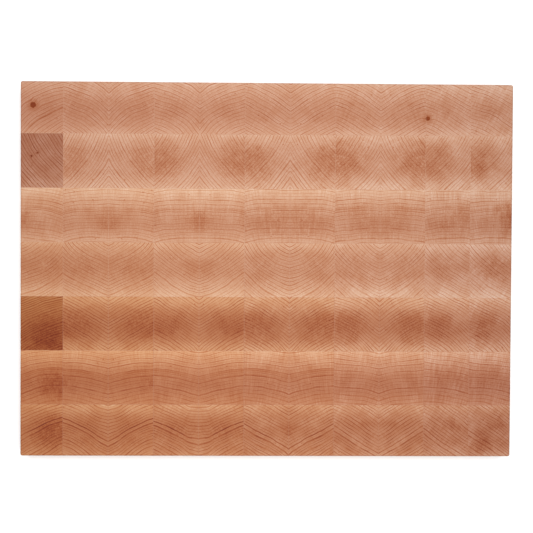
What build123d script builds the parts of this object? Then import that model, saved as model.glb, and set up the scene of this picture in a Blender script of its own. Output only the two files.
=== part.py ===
"""End-grain cutting board, 500 x 380 x 50 mm, glued up from 77 hardwood blocks.

The board is built the way a shop builds it. Seven strips are glued edge to edge into a panel, the
panel is cross-cut into eleven slices, and each slice is turned so that its end grain faces up. The
slices are glued face to face, the board is squared, which leaves its outer blocks a little
narrower, and its edges are eased.

Frame: +X along the board's length, across the slices, with slice 1 on the -X side. +Y across its
width, along one slice, with row 1 on the +Y side. +Z up. The origin is at the centre of the
underside. Millimetres.
"""

import os

from build123d import *

# Driving dimensions
SLICES = 11  # cross-cut slices, side by side along X
ROWS = 7  # strips in each slice, side by side along Y
SLICE_PITCH = 46.0  # thickness of the glued panel, with the glue beside it
ROW_PITCH = 55.0  # width of one strip, with the glue beside it
END_SLICE = 43.0  # the two outer slices, after the board is squared
END_ROW = 52.5  # the two outer rows, after the board is squared
THICKNESS = 50.0
CORNER_RADIUS = 2.0  # the four upright corners
EASED_RADIUS = 1.5  # the edges round the top and the underside
GLUE = 0.2  # thickness of a cured glue film
GLUE_RECESS = 0.15  # how far a film stays below the sanded surfaces

# Sizes that follow from them
LENGTH = (SLICES - 2) * SLICE_PITCH + 2 * END_SLICE
WIDTH = (ROWS - 2) * ROW_PITCH + 2 * END_ROW
PAST = 5.0  # how far the cutting shapes reach beyond the board

# Glue planes from slice 1 to slice 11, and from row 1 to row 7, with a wall beyond each end
SLICE_SEAMS = [-LENGTH / 2 + END_SLICE + i * SLICE_PITCH for i in range(SLICES - 1)]
ROW_SEAMS = [WIDTH / 2 - END_ROW - i * ROW_PITCH for i in range(ROWS - 1)]
SLICE_WALLS = [-LENGTH / 2 - PAST, *SLICE_SEAMS, LENGTH / 2 + PAST]
ROW_WALLS = [WIDTH / 2 + PAST, *ROW_SEAMS, -WIDTH / 2 - PAST]

# Slices 2-3, 4-5, 6-7 and 8-9 show mirrored twins of the same grain. Such a pair of blocks shares a
# node, as two solids with their glue film between them.
SLICE_GROUPS = [(1,), (2, 3), (4, 5), (6, 7), (8, 9), (10,), (11,)]


def slab_inside(inset):
    """The whole board as one slab with eased edges, drawn in by inset on every side."""
    with BuildPart() as slab:
        with BuildSketch(Plane.XY.offset(inset)):
            Rectangle(LENGTH - 2 * inset, WIDTH - 2 * inset)
        extrude(amount=THICKNESS - 2 * inset)
        fillet(slab.edges().filter_by(Axis.Z), radius=CORNER_RADIUS)
        levels = slab.edges().group_by(Axis.Z)
        fillet(levels[0] + levels[-1], radius=EASED_RADIUS)
    return slab.part


def slice_span(number):
    """Lowest and highest X of the wood in a slice."""
    return SLICE_WALLS[number - 1] + GLUE / 2, SLICE_WALLS[number] - GLUE / 2


def row_span(number):
    """Lowest and highest Y of the wood in a row."""
    return ROW_WALLS[number] + GLUE / 2, ROW_WALLS[number - 1] - GLUE / 2


def film_span(seam):
    """The two sides of the glue film on a glue plane."""
    return seam - GLUE / 2, seam + GLUE / 2


def write_cut(name, slab, columns):
    """Write what the slab leaves inside upright columns, each an X span and a Y span."""
    with BuildPart() as cut:
        add(slab)
        with BuildSketch(Plane.XY.offset(-PAST)):
            for (x_low, x_high), (y_low, y_high) in columns:
                with Locations(((x_low + x_high) / 2, (y_low + y_high) / 2)):
                    Rectangle(x_high - x_low, y_high - y_low)
        extrude(amount=THICKNESS + 2 * PAST, mode=Mode.INTERSECT)
    cut.part.label = name
    export_step(cut.part, f"parts/{name}.step")


os.makedirs("parts", exist_ok=True)

# The blocks: the slab, cut along the glue planes
wood = slab_inside(0)
for row in range(1, ROWS + 1):
    for group in SLICE_GROUPS:
        noun = "block" if len(group) == 1 else "blocks"
        numbers = "_".join(f"{number:02d}" for number in group)
        spans = [(slice_span(number), row_span(row)) for number in group]
        write_cut(f"{noun}_row{row}_slice{numbers}", wood, spans)

# The second glue-up: one film across the whole width between each two slices
glue = slab_inside(GLUE_RECESS)
whole_width = (ROW_WALLS[-1], ROW_WALLS[0])
for number, seam in enumerate(SLICE_SEAMS, start=1):
    write_cut(f"slice_glue_{number:02d}_{number + 1:02d}", glue, [(film_span(seam), whole_width)])

# The first glue-up: six short films in each slice, between its blocks
slices = range(1, SLICES + 1)
short_films = [(slice_span(number), film_span(seam)) for number in slices for seam in ROW_SEAMS]
write_cut("strip_glue_films", glue, short_films)

print(f"board {LENGTH} x {WIDTH} x {THICKNESS} mm, {SLICES * ROWS} blocks, {len(short_films)} short films")
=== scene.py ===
"""The looks of the end-grain cutting board: solid maple with growth rings, glue films, stage and camera.

The board was glued from seven strips, cross-cut into eleven slices, and every second slice was turned
over. So the wood of a strip is one solid, and each block shows a section of it: a material works out
where in its strip a point lay before the board was cut, and grows the rings there. Materials reckon in
millimetres; objects are in metres, as in the frame.
"""
import math
from dataclasses import dataclass
from typing import NamedTuple

import bmesh
import bpy
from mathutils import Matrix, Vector


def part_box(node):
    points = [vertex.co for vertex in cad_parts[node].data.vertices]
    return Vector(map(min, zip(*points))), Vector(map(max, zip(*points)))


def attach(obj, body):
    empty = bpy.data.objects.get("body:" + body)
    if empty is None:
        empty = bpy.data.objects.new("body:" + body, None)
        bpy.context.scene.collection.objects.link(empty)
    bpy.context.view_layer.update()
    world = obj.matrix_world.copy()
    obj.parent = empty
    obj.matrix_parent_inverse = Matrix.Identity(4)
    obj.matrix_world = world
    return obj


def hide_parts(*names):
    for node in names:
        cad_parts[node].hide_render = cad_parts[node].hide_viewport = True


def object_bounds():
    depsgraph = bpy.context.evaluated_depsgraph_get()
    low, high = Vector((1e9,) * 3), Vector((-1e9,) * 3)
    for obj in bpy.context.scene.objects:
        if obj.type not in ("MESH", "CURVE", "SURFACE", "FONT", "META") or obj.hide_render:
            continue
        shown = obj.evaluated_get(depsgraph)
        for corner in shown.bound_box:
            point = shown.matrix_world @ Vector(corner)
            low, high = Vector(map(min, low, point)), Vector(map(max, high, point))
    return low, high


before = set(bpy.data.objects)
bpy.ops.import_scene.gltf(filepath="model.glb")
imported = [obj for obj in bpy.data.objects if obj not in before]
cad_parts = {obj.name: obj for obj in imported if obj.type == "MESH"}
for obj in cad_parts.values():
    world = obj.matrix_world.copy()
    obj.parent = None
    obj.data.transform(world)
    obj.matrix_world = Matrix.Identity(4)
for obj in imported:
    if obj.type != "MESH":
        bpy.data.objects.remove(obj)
cad_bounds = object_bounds()

MM = 0.001
SLICES = range(1, 12)
PAIRS = [(2, 3), (4, 5), (6, 7), (8, 9)]  # mirrored twins, two solids in one CAD node
SINGLES = (1, 10, 11)  # slices whose blocks have a CAD node each

# ---------------------------------------------------------------- sizes, read from the frame


def node_span(node, axis):
    """Lowest and highest millimetre of a CAD node along an axis."""
    low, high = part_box(node)
    return low[axis] / MM, high[axis] / MM


FIRST_SLICE = node_span("block_row3_slice01", 0)
FIRST_PAIR = node_span("blocks_row3_slice02_03", 0)
GLUE = FIRST_PAIR[0] - FIRST_SLICE[1]
SLICE_PITCH = (FIRST_PAIR[1] - FIRST_PAIR[0] + GLUE) / 2
FIRST_SEAM = FIRST_PAIR[0] - GLUE / 2
MIDDLE_ROW = node_span("block_row4_slice01", 1)
ROW_PITCH = MIDDLE_ROW[1] - MIDDLE_ROW[0] + GLUE
TOP = cad_bounds[1][2] / MM
SAW_CUT = 2.0  # wood lost between two slices
SLICE_STEP = TOP + SAW_CUT  # from one slice to the next along the uncut strip
STRIP_LENGTH = len(SLICES) * SLICE_STEP
MIDDLE_ROW_NUMBER = 4


def row_centre(row):
    """Y of the middle of a row's strips, as they were before the board was squared."""
    return (MIDDLE_ROW_NUMBER - row) * ROW_PITCH


def block_centre(number):
    """X of the middle of a slice's blocks, as they were before the board was squared."""
    return FIRST_SEAM + (number - 1.5) * SLICE_PITCH


# ---------------------------------------------------------------- arithmetic in materials


class Term:
    """A number that a material works out. Arithmetic on it adds Math nodes to the material."""

    def __init__(self, tree, socket):
        self.tree, self.socket = tree, socket

    def math(self, operation, *others):
        node = self.tree.nodes.new("ShaderNodeMath")
        node.operation = operation
        for slot, value in zip(node.inputs, (self, *others)):
            if isinstance(value, Term):
                self.tree.links.new(value.socket, slot)
            else:
                slot.default_value = value
        return Term(self.tree, node.outputs[0])

    def __add__(self, other):
        return self.math("ADD", other)

    def __sub__(self, other):
        return self.math("SUBTRACT", other)

    def __mul__(self, other):
        return self.math("MULTIPLY", other)

    def __truediv__(self, other):
        return self.math("DIVIDE", other)

    __radd__, __rmul__ = __add__, __mul__

    def __rsub__(self, other):
        return (self * -1) + other

    def floor(self):
        return self.math("FLOOR")

    def abs(self):
        return self.math("ABSOLUTE")

    def above(self, level):
        return self.math("GREATER_THAN", level)

    def clamp(self):
        return self.math("MINIMUM", 1.0).math("MAXIMUM", 0.0)

    def fade(self, start, end):
        """1 below start, 0 above end, and a smooth step between."""
        node = self.tree.nodes.new("ShaderNodeMapRange")
        node.interpolation_type = "SMOOTHSTEP"
        node.inputs["From Min"].default_value = start
        node.inputs["From Max"].default_value = end
        node.inputs["To Min"].default_value = 1.0
        node.inputs["To Max"].default_value = 0.0
        self.tree.links.new(self.socket, node.inputs["Value"])
        return Term(self.tree, node.outputs["Result"])


def millimetres(tree):
    """X, Y and Z of a point of the board."""
    coordinates = tree.nodes.new("ShaderNodeTexCoord")
    split = tree.nodes.new("ShaderNodeSeparateXYZ")
    tree.links.new(coordinates.outputs["Object"], split.inputs[0])
    return [Term(tree, socket) * (1 / MM) for socket in split.outputs]


def hypot(a, b):
    return (a * a + b * b).math("SQRT")


def vector(x, y, z):
    """Three terms as one vector socket."""
    node = x.tree.nodes.new("ShaderNodeCombineXYZ")
    for slot, term in zip(node.inputs, (x, y, z)):
        x.tree.links.new(term.socket, slot)
    return node.outputs[0]


def noise(x, y, z, detail=0.0):
    """Smooth noise from about -1 to 1, with features about one unit across."""
    node = x.tree.nodes.new("ShaderNodeTexNoise")
    node.inputs["Scale"].default_value = 1.0
    node.inputs["Detail"].default_value = detail
    x.tree.links.new(vector(x, y, z), node.inputs["Vector"])
    return Term(x.tree, node.outputs[0]) * 2.0 - 1.0


def noise_along(x):
    """The same in one dimension."""
    node = x.tree.nodes.new("ShaderNodeTexNoise")
    node.noise_dimensions = "1D"
    node.inputs["Scale"].default_value = 1.0
    node.inputs["Detail"].default_value = 0.0
    x.tree.links.new(x.socket, node.inputs["W"])
    return Term(x.tree, node.outputs[0]) * 2.0 - 1.0


def chance(x):
    """A random number from 0 to 1 for each whole number."""
    node = x.tree.nodes.new("ShaderNodeTexWhiteNoise")
    node.noise_dimensions = "1D"
    x.tree.links.new(x.socket, node.inputs["W"])
    return Term(x.tree, node.outputs[0])


def cells(x, y, z):
    """Distance to the nearest of scattered points, about one to each unit cube."""
    node = x.tree.nodes.new("ShaderNodeTexVoronoi")
    node.inputs["Scale"].default_value = 1.0
    x.tree.links.new(vector(x, y, z), node.inputs["Vector"])
    return Term(x.tree, node.outputs["Distance"])


def linear(hex_colour):
    """A colour written #RRGGBB as Blender's linear values."""
    values = [int(hex_colour[i:i + 2], 16) / 255 for i in (1, 3, 5)]
    return [v / 12.92 if v <= 0.04045 else ((v + 0.055) / 1.055) ** 2.4 for v in values]


def ramp(term, stops):
    """A colour that runs through stops, each a position from 0 to 1 and a linear colour."""
    node = term.tree.nodes.new("ShaderNodeValToRGB")
    node.color_ramp.interpolation = "B_SPLINE"
    elements = node.color_ramp.elements
    while len(elements) < len(stops):
        elements.new(0.5)
    for element, (position, colour) in zip(elements, stops):
        element.position = position
        element.color = (*colour, 1.0)
    term.tree.links.new(term.socket, node.inputs["Fac"])
    return node.outputs["Color"]


def profile(term, stops, highest):
    """A number that runs through stops, each a position from 0 to 1 and a value from 0 to highest."""
    greys = [(position, (value / highest,) * 3) for position, value in stops]
    return Term(term.tree, ramp(term, greys)) * highest


def stained(colour, amount, stain):
    """The colour with a stain laid on it amount times over. A negative amount bleaches it."""
    kept = vector(*((amount * math.log(part)).math("EXPONENT") for part in stain))
    node = amount.tree.nodes.new("ShaderNodeVectorMath")
    node.operation = "MULTIPLY"
    amount.tree.links.new(colour, node.inputs[0])
    amount.tree.links.new(kept, node.inputs[1])
    return node.outputs[0]


# ---------------------------------------------------------------- the strips


class Bold(NamedTuple):
    """A strong ring."""
    place: float  # from the middle of the strip, towards the bark
    strength: float
    reach: float  # share of the strip's length that it shows in, from the start


class Heart(NamedTuple):
    """A dark patch. Its place is given from the middle of the strip."""
    x: float
    y: float
    size: float
    strength: float
    first_cut: int  # saw cuts that show it, from 0, the strip's start, to 11
    last_cut: int


class Knot(NamedTuple):
    """A pin knot. Its place is given from the middle of the block."""
    slice_number: int
    x: float
    y: float
    radius: float


@dataclass
class Strip:
    """One strip of the panel, in millimetres. Pairs give a value at its start, at slice 1, and its end."""
    row: int
    growth: tuple  # degrees from +X towards +Y: the way from the pith to the bark, across the strip
    radius: tuple  # radius of the ring through the middle of the strip
    ring: float  # usual distance between rings
    wood: str  # colour of its palest wood at the start
    band: tuple  # coats of BAND_STAIN from the upper edge of the row (0) to the lower one (1)
    end_stain: tuple = (1.0, 1.0, 1.0)  # red, green and blue at its end, as multiples of the start's
    bold: tuple = ()
    drift: float = 0.0  # how far the rings shift from the strip's start to its end
    wander: float = 1.4  # how far rings stray from true circles
    turn_back: float = 0.0  # how far the rings turn back at the +X side, about a third along
    contrast: float = 1.0  # how plainly the rings show
    rays: tuple = (0.16, 0.3)  # how plainly the rays show
    mottle: tuple = (0.5, 0.6)  # how cloudy the wood is
    hearts: tuple = ()
    knots: tuple = ()
    seed: int = 1


STRIPS = [
    Strip(row=1, growth=(57, 66), radius=(85, 400), ring=3.4, seed=3, end_stain=(1.05, 1.15, 1.22),
          wood="#BA8E73", band=((0.0, 0.0), (0.3, 0.8), (0.6, 1.15), (0.85, 0.8), (1.0, 0.3)),
          bold=(Bold(-9.8, 1.0, 0.06),), wander=1.8, rays=(0.16, 0.36), mottle=(0.4, 0.6),
          hearts=(Heart(-8.0, -2.0, 18.0, 0.25, 0, 11),),
          knots=(Knot(1, -7.4, 1.0, 2.8), Knot(10, -21.2, -10.0, 2.2))),
    Strip(row=2, growth=(-33, -41), radius=(130, 120), ring=3.0, seed=5, end_stain=(0.99, 1.0, 1.01),
          wood="#BE967C", band=((0.0, 0.1), (0.25, 0.9), (0.5, 0.9), (0.75, 0.8), (1.0, 0.0)),
          wander=0.9, rays=(0.14, 0.3), contrast=0.9,
          hearts=(Heart(-17.0, 1.0, 24.0, 0.6, 2, 2), Heart(-18.0, 1.0, 26.0, 0.9, 4, 11))),
    Strip(row=3, growth=(98, 92), radius=(150, 150), ring=3.5, seed=8, end_stain=(0.94, 0.96, 1.04),
          wood="#C49B7C", band=((0.0, 0.0), (0.25, 0.6), (0.6, 1.45), (0.8, 1.15), (1.0, 0.6)),
          bold=(Bold(14.5, 0.4, 2.0), Bold(5.5, 0.6, 2.0)), drift=-3.0, rays=(0.24, 0.45), contrast=0.85,
          hearts=(Heart(21.0, -5.0, 14.0, 0.55, 0, 4), Heart(8.0, -4.0, 24.0, 0.35, 6, 10),
                  Heart(22.0, 1.0, 20.0, 1.2, 11, 11))),
    Strip(row=4, growth=(-122, -128), radius=(90, 120), ring=3.3, seed=12, end_stain=(1.01, 1.13, 1.38),
          wood="#BF9270", band=((0.0, 0.2), (0.22, 1.0), (0.45, 1.25), (0.75, 0.85), (1.0, 0.0)),
          wander=1.9, rays=(0.14, 0.3), mottle=(0.5, 0.8),
          hearts=(Heart(-8.0, 4.0, 20.0, 0.4, 0, 2), Heart(-8.0, 4.0, 20.0, 0.2, 4, 8),
                  Heart(18.0, 2.0, 14.0, 0.25, 0, 4), Heart(-8.0, 2.0, 17.0, 0.45, 10, 11),
                  Heart(12.0, 3.0, 18.0, 0.6, 11, 11))),
    Strip(row=5, growth=(61, 58), radius=(600, 100), ring=2.9, seed=15, end_stain=(1.1, 1.36, 2.0),
          wood="#B78258", band=((0.0, 0.0), (0.25, 1.15), (0.55, 1.9), (0.8, 1.4), (1.0, 0.3)),
          rays=(0.14, 0.3), mottle=(0.7, 0.6), contrast=1.32,
          hearts=(Heart(-9.0, -1.0, 20.0, 0.85, 0, 11), Heart(-21.0, -5.0, 9.0, 0.4, 2, 2))),
    Strip(row=6, growth=(80, 80), radius=(180, 200), ring=3.7, seed=21, end_stain=(1.01, 1.18, 1.66),
          wood="#C08B61", band=((0.0, 0.0), (0.25, 1.0), (0.6, 2.15), (0.8, 1.75), (1.0, 1.1)),
          bold=(Bold(6.0, 0.8, 0.6), Bold(1.0, 0.5, 0.6)), rays=(0.24, 0.6),
          hearts=(Heart(-15.0, -7.0, 19.0, 1.2, 0, 0), Heart(-20.0, -5.0, 12.0, 0.6, 2, 2),
                  Heart(2.0, 2.0, 17.0, 0.45, 10, 11))),
    Strip(row=7, growth=(64, 55), radius=(140, 2000), ring=3.0, seed=27, end_stain=(0.97, 1.08, 1.46),
          wood="#B47D54", band=((0.0, 0.0), (0.25, 1.05), (0.55, 1.3), (0.85, 0.9), (1.0, 0.1)),
          bold=(Bold(6.4, 1.0, 0.5), Bold(1.5, 0.4, 0.6)), drift=18.0, wander=1.6, turn_back=5.0,
          rays=(0.16, 0.45), mottle=(0.7, 1.1), contrast=1.4,
          hearts=(Heart(-12.0, 0.0, 22.0, 1.4, 0, 0), Heart(-3.0, -3.0, 20.0, 0.4, 2, 4),
                  Heart(21.0, 5.0, 9.0, 0.7, 6, 6), Heart(6.0, 11.0, 9.0, 0.8, 10, 11),
                  Heart(-7.0, -9.0, 13.0, 0.9, 11, 11))),
]
# Two blocks of slice 1 came from other, darker boards
OFFCUTS = {
    2: Strip(row=2, growth=(-38, -38), radius=(170, 170), ring=3.0, seed=33, contrast=1.6,
             mottle=(1.0, 1.0), knots=(Knot(1, -2.8, 7.7, 0.8), Knot(1, -9.0, 4.4, 0.7)),
             wood="#A5755B", band=((0.0, 0.95), (0.4, 1.1), (0.8, 0.65), (1.0, 0.0))),
    5: Strip(row=5, growth=(67, 67), radius=(150, 150), ring=2.3, seed=39, contrast=1.5,
             mottle=(0.8, 0.8), hearts=(Heart(-10.0, -17.0, 30.0, 1.9, 0, 0),),
             wood="#9F6439", band=((0.0, 0.0), (0.35, 0.7), (0.7, 0.9), (1.0, 0.5))),
}

# ---------------------------------------------------------------- wood

# A stain is what one coat of it leaves of red, green and blue
WOOD_STAIN = (0.82, 0.63, 0.50)  # darker wood is redder
BAND_STAIN = (0.78, 0.63, 0.57)  # the darker band along the middle of a strip
KNOT_STAIN = (0.53, 0.23, 0.055)
END_FALLOFF_SHADE = (0.90, 0.89, 0.90)  # painted shade: the board's ends a little darker, where the light falls off towards them
END_FALLOFF_SHADE_REACH = (60.0, 290.0)  # mm from the board's middle: where the painted shade begins, and would be full
MOST_COATS = 2.5  # of BAND_STAIN

# Half-widths of lines, in mm: how far they are full, and where they end
RING_LINE = (0.10, 0.52)
PALE_LINE = (0.1, 0.5)  # beside each ring line
FINE_LINE = (0.05, 0.35)  # between the rings
BOLD_LINE = (0.2, 0.8)
BOLD_SHADE = (0.2, 3.0)
PALE_LINE_PLACE = 0.95  # mm from the ring line
FINE_RING = 0.31  # distance between fine lines, as a share of that between rings
UNEVEN = 0.4  # how far lines stray from even distances, as a share of the distance

# Where rings turn back: mm from the strip's middle towards +X, and shares of the strip's length
TURN_BACK_SIDE = (11.0, 25.0)
TURN_BACK_SHARE = 0.35
TURN_BACK_LENGTH = (0.05, 0.25)

PORE_PITCH = 0.42  # mm between pores
KNOT_DEPTH = (6.0, 12.0)  # mm below the face: a pin knot runs out between these
SEED_STEP = 7.31  # between the noise of one strip and the next
SPECULAR = 0.18
ROUGHNESS = 0.74


class UncutPoint:
    """Where a point of the board lay in its strip before the panel was cut into slices."""

    def __init__(self, tree, strip):
        self.x, y, z = millimetres(tree)
        from_seam = self.x - FIRST_SEAM
        step = (from_seam / SLICE_PITCH).floor()
        pair = (step / 2).floor()
        turned = step - pair * 2
        last = step.above(len(SLICES) - 2.5)  # slice 11 isn't turned over
        fold = from_seam.math("PINGPONG", SLICE_PITCH)
        self.across = fold + last * (SLICE_PITCH - 2 * fold) - SLICE_PITCH / 2
        self.up = y - row_centre(strip.row)
        self.depth = TOP - z
        along = (pair + 1) * (2 * SLICE_STEP) + (turned * 2 - 1) * self.depth
        self.along = along + last * (SLICE_STEP - 2 * self.depth)
        self.share = self.along / STRIP_LENGTH
        self.seed = strip.seed * SEED_STEP

    def between(self, ends):
        """A value that runs evenly from one end of the strip to the other."""
        at_start, at_end = ends
        return self.share * (at_end - at_start) + at_start

    def noise(self, size, length, detail=0.0):
        """Noise with features size mm across and length mm long."""
        return noise(self.across / size, self.up / size, self.along / length + self.seed, detail)


class Growth(NamedTuple):
    """How the tree had grown at a point, in mm."""
    rings: Term  # growth since the ring through the strip's middle
    outward: Term  # way from the strip's middle towards the bark
    sideways: Term  # way square to that
    arc: Term  # the same, measured round the pith


def growth(at, strip):
    """Growth at a point: circles round the pith that stray a little."""
    angle = at.between([math.radians(a) for a in strip.growth])
    cosine, sine = angle.math("COSINE"), angle.math("SINE")
    outward = at.across * cosine + at.up * sine
    sideways = at.up * cosine - at.across * sine
    pith = at.between([1 / r for r in strip.radius]).math("POWER", -1.0)
    wander = at.noise(38, 170) * strip.wander * 2
    bend = at.noise(17, 90) * strip.wander * 0.6
    ripple = at.noise(6, 50) * 0.4 + at.noise(2.2, 30) * 0.12
    rings = hypot(pith + outward, sideways) - pith + wander + bend + ripple + at.share * strip.drift
    if strip.turn_back:
        turned_back = 1 - at.across.fade(*TURN_BACK_SIDE)
        turned_back = turned_back * (at.share - TURN_BACK_SHARE).abs().fade(*TURN_BACK_LENGTH)
        rings = rings - turned_back * strip.turn_back
    return Growth(rings, outward, sideways, sideways * pith / (pith + outward))


def pin_knots(at, strip):
    """Each pin knot's core, and the halo where it pushes the rings aside."""
    for knot in strip.knots:
        away = hypot(at.x - (block_centre(knot.slice_number) + knot.x), at.up - knot.y)
        away = away + noise(at.across / 2, at.up / 2, at.along / 9) * 0.5
        core = away.fade(knot.radius * 0.8, knot.radius * 1.2) * at.depth.fade(*KNOT_DEPTH)
        halo = away.fade(knot.radius, knot.radius * 3.2) * at.depth.fade(*KNOT_DEPTH)
        yield core, halo


def nearest_line(rings, spacing, stretch, seed):
    """Number of the nearest of some uneven lines, and how far off it is. Stretch is how slowly they vary."""
    count = rings / spacing + noise_along(rings / stretch + seed) * UNEVEN
    number = (count + 0.5).floor()
    return number, ((count - number) * spacing).abs()


def ring_lines(rings, strip, seed, patchy, blotch):
    """Strength of the dark line at each ring's edge, and of the paler lines on both sides of it."""
    number, off = nearest_line(rings, strip.ring, 7.5, seed)
    strength = (chance(number + seed) * 0.5 + 0.5) * (1 + patchy * 1.1 + blotch * 0.6) * strip.contrast
    return off.fade(*RING_LINE) * strength, (off - PALE_LINE_PLACE).abs().fade(*PALE_LINE) * strength


def fine_lines(rings, strip, seed):
    """Strength of the fine lines between rings."""
    number, off = nearest_line(rings, strip.ring * FINE_RING, 2.1, seed)
    return off.fade(*FINE_LINE) * chance(number + seed)


def bold_rings(rings, at, strip, patchy):
    """Strength of each strong ring."""
    for bold in strip.bold:
        off = (rings - bold.place).abs()
        shown = at.share.fade(bold.reach, bold.reach + 0.1) * (1 + patchy * 0.8)
        shown = shown * (at.across.fade(-6.0, 22.0) * 0.7 + 0.3)
        yield (off.fade(*BOLD_LINE) + off.fade(*BOLD_SHADE) * 0.25) * shown * bold.strength


def rays(grown, at, strip):
    """Rays run from the pith to the bark, so across the rings."""
    narrow = noise(grown.arc / 0.8, grown.outward / 14, at.along / 12 + at.seed)
    wide = noise(grown.arc / 2.8, grown.outward / 22, at.along / 30 + at.seed)
    plain = at.between(strip.rays)
    return narrow * plain, wide * plain * 0.5


def dark_patches(at, strip, texture):
    """Strength of each dark patch, with a ragged edge."""
    ragged = at.noise(12, 100, detail=2.0) * 11.0
    cut = at.share * len(SLICES)  # 0 at the strip's start, 1 at the first saw cut
    for heart in strip.hearts:
        inside = hypot((at.across - heart.x) / 1.1, at.up - heart.y) + ragged
        half = (heart.last_cut - heart.first_cut) / 2
        near = (cut - (heart.first_cut + half)).abs().fade(half, half + 1.3)
        yield inside.fade(heart.size * 0.1, heart.size * 1.2) * texture * near * heart.strength


def side_grain(tree):
    """1 on the board's sides, 0 on its faces."""
    geometry = tree.nodes.new("ShaderNodeNewGeometry")
    normal = tree.nodes.new("ShaderNodeSeparateXYZ")
    tree.links.new(geometry.outputs["Normal"], normal.inputs[0])
    return Term(tree, normal.outputs["Z"]).abs().fade(0.05, 0.5)


def plain_wood(at, strip):
    """The wood's colour without rings, from edge to edge and end to end of its strip, with shade painted on
    towards the board's ends.
    """
    palest = at.share.tree.nodes.new("ShaderNodeRGB")
    palest.outputs[0].default_value = (*linear(strip.wood), 1.0)
    colour = stained(palest.outputs[0], at.share, strip.end_stain)
    down = 0.5 - at.up / ROW_PITCH
    colour = stained(colour, profile(down, strip.band, MOST_COATS), BAND_STAIN)
    # Painted shade: a little darker towards the board's ends, as the light falls off there
    return stained(colour, 1 - at.x.abs().fade(*END_FALLOFF_SHADE_REACH), END_FALLOFF_SHADE)


def oiled_surface(shader, line, blotch, pores, fibres, even_gloss):
    """Sanded and oiled wood, with rings and pores just felt."""
    tree = line.tree
    if even_gloss:
        shader.inputs["Roughness"].default_value = ROUGHNESS - 0.02
    else:
        rough = ROUGHNESS - line * 0.08 + blotch * 0.05 + fibres * 0.3
        tree.links.new(rough.socket, shader.inputs["Roughness"])
    shader.inputs["Specular IOR Level"].default_value = SPECULAR
    height = line * -0.020 + pores * -0.03 + fibres * 0.05
    bump = tree.nodes.new("ShaderNodeBump")
    bump.inputs["Distance"].default_value = MM
    bump.inputs["Strength"].default_value = 0.5
    tree.links.new(height.socket, bump.inputs["Height"])
    tree.links.new(bump.outputs[0], shader.inputs["Normal"])


def maple(name, strip, even_gloss=False):
    """Oiled hard maple, grown round a strip's pith."""
    material = bpy.data.materials.new(name)
    material.use_nodes = True
    tree = material.node_tree
    shader = tree.nodes["Principled BSDF"]
    at = UncutPoint(tree, strip)
    grown = growth(at, strip)
    rings = grown.rings
    knots = list(pin_knots(at, strip))
    for _, halo in knots:
        rings = rings + halo * 2.0

    # How dark the wood is, in coats of stain
    blotch = at.noise(15, 120, detail=2.0)
    patchy = at.noise(8, 60, detail=1.0)
    grain = at.noise(1.4, 12, detail=2.0)
    pores = cells(at.across / PORE_PITCH, at.up / PORE_PITCH, at.along / 9).fade(0.10, 0.26)
    fibres = noise(at.across / 0.3, at.up / 0.3, at.along / 16, detail=1.0) * 0.15
    flecks = cells(grown.outward / 8 + 3.3, grown.sideways / 12, at.along / 40 + at.seed).fade(0.035, 0.1)
    line, pale = ring_lines(rings, strip, at.seed, patchy, blotch)
    dark = line * 1.15 + fine_lines(rings, strip, at.seed) * 0.25 - pale * 0.4
    for bold in bold_rings(rings, at, strip, patchy):
        dark = dark + bold
    narrow_rays, wide_rays = rays(grown, at, strip)
    dark = dark + narrow_rays + wide_rays + fibres + blotch * at.between(strip.mottle)
    dark = dark + grain * 0.5 + pores * 0.25 + flecks * 1.3
    for patch in dark_patches(at, strip, 1 + patchy * 0.9 + grain * 1.2):
        dark = dark + patch

    # Long grain, on the sides, is paler and quieter than end grain
    side = side_grain(tree)
    colour = stained(plain_wood(at, strip), dark * (1 - side * 0.4) - side * 0.4, WOOD_STAIN)
    if knots:
        cores, halos = (sum(parts[1:], parts[0]) for parts in zip(*knots))
        colour = stained(colour, halos * 0.8, WOOD_STAIN)
        colour = stained(colour, cores.clamp(), KNOT_STAIN)
    tree.links.new(colour, shader.inputs["Base Color"])
    oiled_surface(shader, line, blotch, pores, fibres, even_gloss)
    return material


def dried_glue(name):
    """Cured wood glue, a little uneven in colour along the joint and darker between the dark rows."""
    material = bpy.data.materials.new(name)
    material.use_nodes = True
    tree = material.node_tree
    shader = tree.nodes["Principled BSDF"]
    x, y, z = millimetres(tree)
    thick = noise(x / 14, y / 14, z / 14, detail=2.0) * 0.5 + 0.5
    colour = ramp(thick, ((0.0, linear("#B48665")), (1.0, linear("#9F6C4B"))))
    colour = stained(colour, y.fade(row_centre(5), row_centre(4)) * 0.9, WOOD_STAIN)
    tree.links.new(colour, shader.inputs["Base Color"])
    shader.inputs["Roughness"].default_value = 0.5
    return material


# ---------------------------------------------------------------- pieces

SAME_PLACE = 1e-7  # metres: vertices nearer than this are one


def piece_from(mesh_maker, name, material, nodes):
    """A new piece that stands for CAD nodes, with its mesh filled by mesh_maker."""
    mesh = bpy.data.meshes.new(name)
    piece = bpy.data.objects.new(name, mesh)
    bpy.context.scene.collection.objects.link(piece)
    mesh_maker(mesh)
    mesh.materials.clear()
    mesh.materials.append(material)
    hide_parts(*nodes)
    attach(piece, "root")


def half_of_pair(node, keep_left):
    """Fills a mesh with the left or right one of a CAD node's two blocks."""
    def fill(mesh):
        low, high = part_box(node)
        middle = (low.x + high.x) / 2
        bm = bmesh.new()
        bm.from_mesh(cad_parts[node].data)
        other = [v for v in bm.verts if (v.co.x < middle) != keep_left]
        bmesh.ops.delete(bm, geom=other, context="VERTS")
        bm.to_mesh(mesh)
        bm.free()
    return fill


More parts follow.
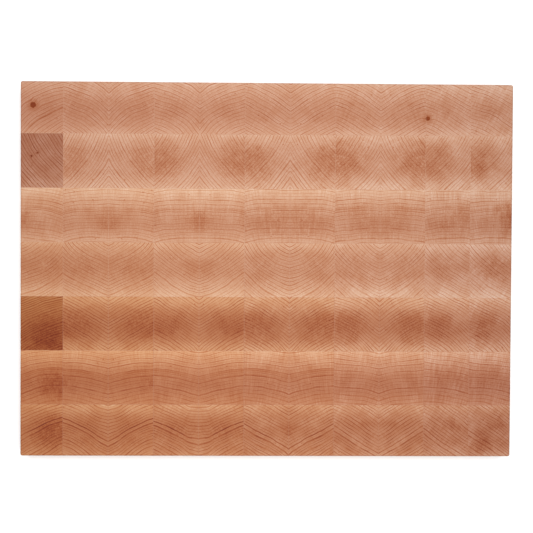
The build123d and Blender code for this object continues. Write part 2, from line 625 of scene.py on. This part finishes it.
def quarter_of(nodes, left, back):
    """Fills a mesh with the part of some CAD nodes that lies in one quarter of the board."""
    def fill(mesh):
        bm = bmesh.new()
        for node in nodes:
            bm.from_mesh(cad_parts[node].data)
        bmesh.ops.remove_doubles(bm, verts=bm.verts, dist=SAME_PLACE)
        for direction in (Vector((-1 if left else 1, 0, 0)), Vector((0, 1 if back else -1, 0))):
            whole = bm.verts[:] + bm.edges[:] + bm.faces[:]
            cut = bmesh.ops.bisect_plane(bm, geom=whole, plane_co=(0, 0, 0), plane_no=direction,
                                         clear_inner=True)
            edges = [e for e in cut["geom_cut"] if isinstance(e, bmesh.types.BMEdge)]
            bmesh.ops.contextual_create(bm, geom=edges)
        bm.to_mesh(mesh)
        bm.free()
    return fill


def dress_board():
    """Gives every block its wood and every glue film its glue."""
    for strip in STRIPS:
        slot = f"maple_row_{strip.row}"
        wood = maple(slot, strip)
        for number in SINGLES:
            node = f"block_row{strip.row}_slice{number:02d}"
            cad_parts[node].material_slots[0].material = wood
        for first, second in PAIRS:
            node = f"blocks_row{strip.row}_slice{first:02d}_{second:02d}"
            for number in (first, second):
                name = f"block_row{strip.row}_slice{number:02d}"
                piece_from(half_of_pair(node, number == first), name, wood, [node])
    for row, offcut in OFFCUTS.items():
        dark_wood = maple(f"maple_dark_row_{row}", offcut, even_gloss=True)
        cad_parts[f"block_row{row}_slice01"].material_slots[0].material = dark_wood

    glue = dried_glue("wood_glue")
    slice_films = [f"slice_glue_{n:02d}_{n + 1:02d}" for n in SLICES[:-1]]
    half = len(slice_films) // 2
    for left in (True, False):
        for back in (True, False):
            films = (slice_films[:half] if left else slice_films[half:]) + ["strip_glue_films"]
            name = f"glue_films_{'back' if back else 'front'}_{'left' if left else 'right'}"
            piece_from(quarter_of(films, left, back), name, glue, films)


# ---------------------------------------------------------------- stage, light and camera

FLOOR_REACH = 3.0
FLOOR_DROP = 0.0002  # the floor lies this far below the board, so that the two don't coincide
FLOOR_WHITE = 0.98
LIGHT_PLACE = (0.0, 0.15, 2.2)
LIGHT_SIZE = 0.9
LIGHT_POWER = 56.0
SKY_STRENGTH = 0.33
LENS = 96.3
CAMERA_PLACE = (-0.038, 0.042, 1.5)
CAMERA_TILT = (-1.52, -1.47, 0.32)  # degrees: almost straight down


def white_floor():
    """A floor that shows pure white."""
    mesh = bpy.data.meshes.new("floor")
    reach = FLOOR_REACH
    mesh.from_pydata([(-reach, -reach, 0), (reach, -reach, 0), (reach, reach, 0), (-reach, reach, 0)],
                     [], [(0, 1, 2, 3)])
    floor = bpy.data.objects.new("floor", mesh)
    floor.location.z = -FLOOR_DROP
    bpy.context.scene.collection.objects.link(floor)
    material = bpy.data.materials.new("white_floor")
    material.use_nodes = True
    shader = material.node_tree.nodes["Principled BSDF"]
    shader.inputs["Base Color"].default_value = (FLOOR_WHITE, FLOOR_WHITE, FLOOR_WHITE, 1.0)
    shader.inputs["Roughness"].default_value = 0.9
    shader.inputs["Specular IOR Level"].default_value = 0.0
    mesh.materials.append(material)


def softbox(name, place, size, power):
    """A square area light that faces the board."""
    data = bpy.data.lights.new(name, "AREA")
    data.shape = "SQUARE"
    data.size = size
    data.energy = power
    lamp = bpy.data.objects.new(name, data)
    lamp.location = place
    lamp.rotation_euler = (Vector((0, 0, 0)) - Vector(place)).to_track_quat("-Z", "Y").to_euler()
    bpy.context.scene.collection.objects.link(lamp)


def light_stage():
    """One large overhead softbox and a dim white room."""
    world = bpy.data.worlds.new("studio")
    world.use_nodes = True
    background = world.node_tree.nodes["Background"]
    background.inputs["Color"].default_value = (1.0, 1.0, 1.0, 1.0)
    background.inputs["Strength"].default_value = SKY_STRENGTH
    bpy.context.scene.world = world
    softbox("overhead", LIGHT_PLACE, LIGHT_SIZE, LIGHT_POWER)
    bpy.context.scene.view_settings.view_transform = "Standard"


def set_camera():
    """A camera over the board."""
    data = bpy.data.cameras.new("camera")
    data.lens = LENS
    data.sensor_width = 36.0
    data.clip_start = 0.01
    camera = bpy.data.objects.new("camera", data)
    camera.location = CAMERA_PLACE
    camera.rotation_euler = [math.radians(angle) for angle in CAMERA_TILT]
    bpy.context.scene.collection.objects.link(camera)
    bpy.context.scene.camera = camera


set_camera()
dress_board()
white_floor()
light_stage()
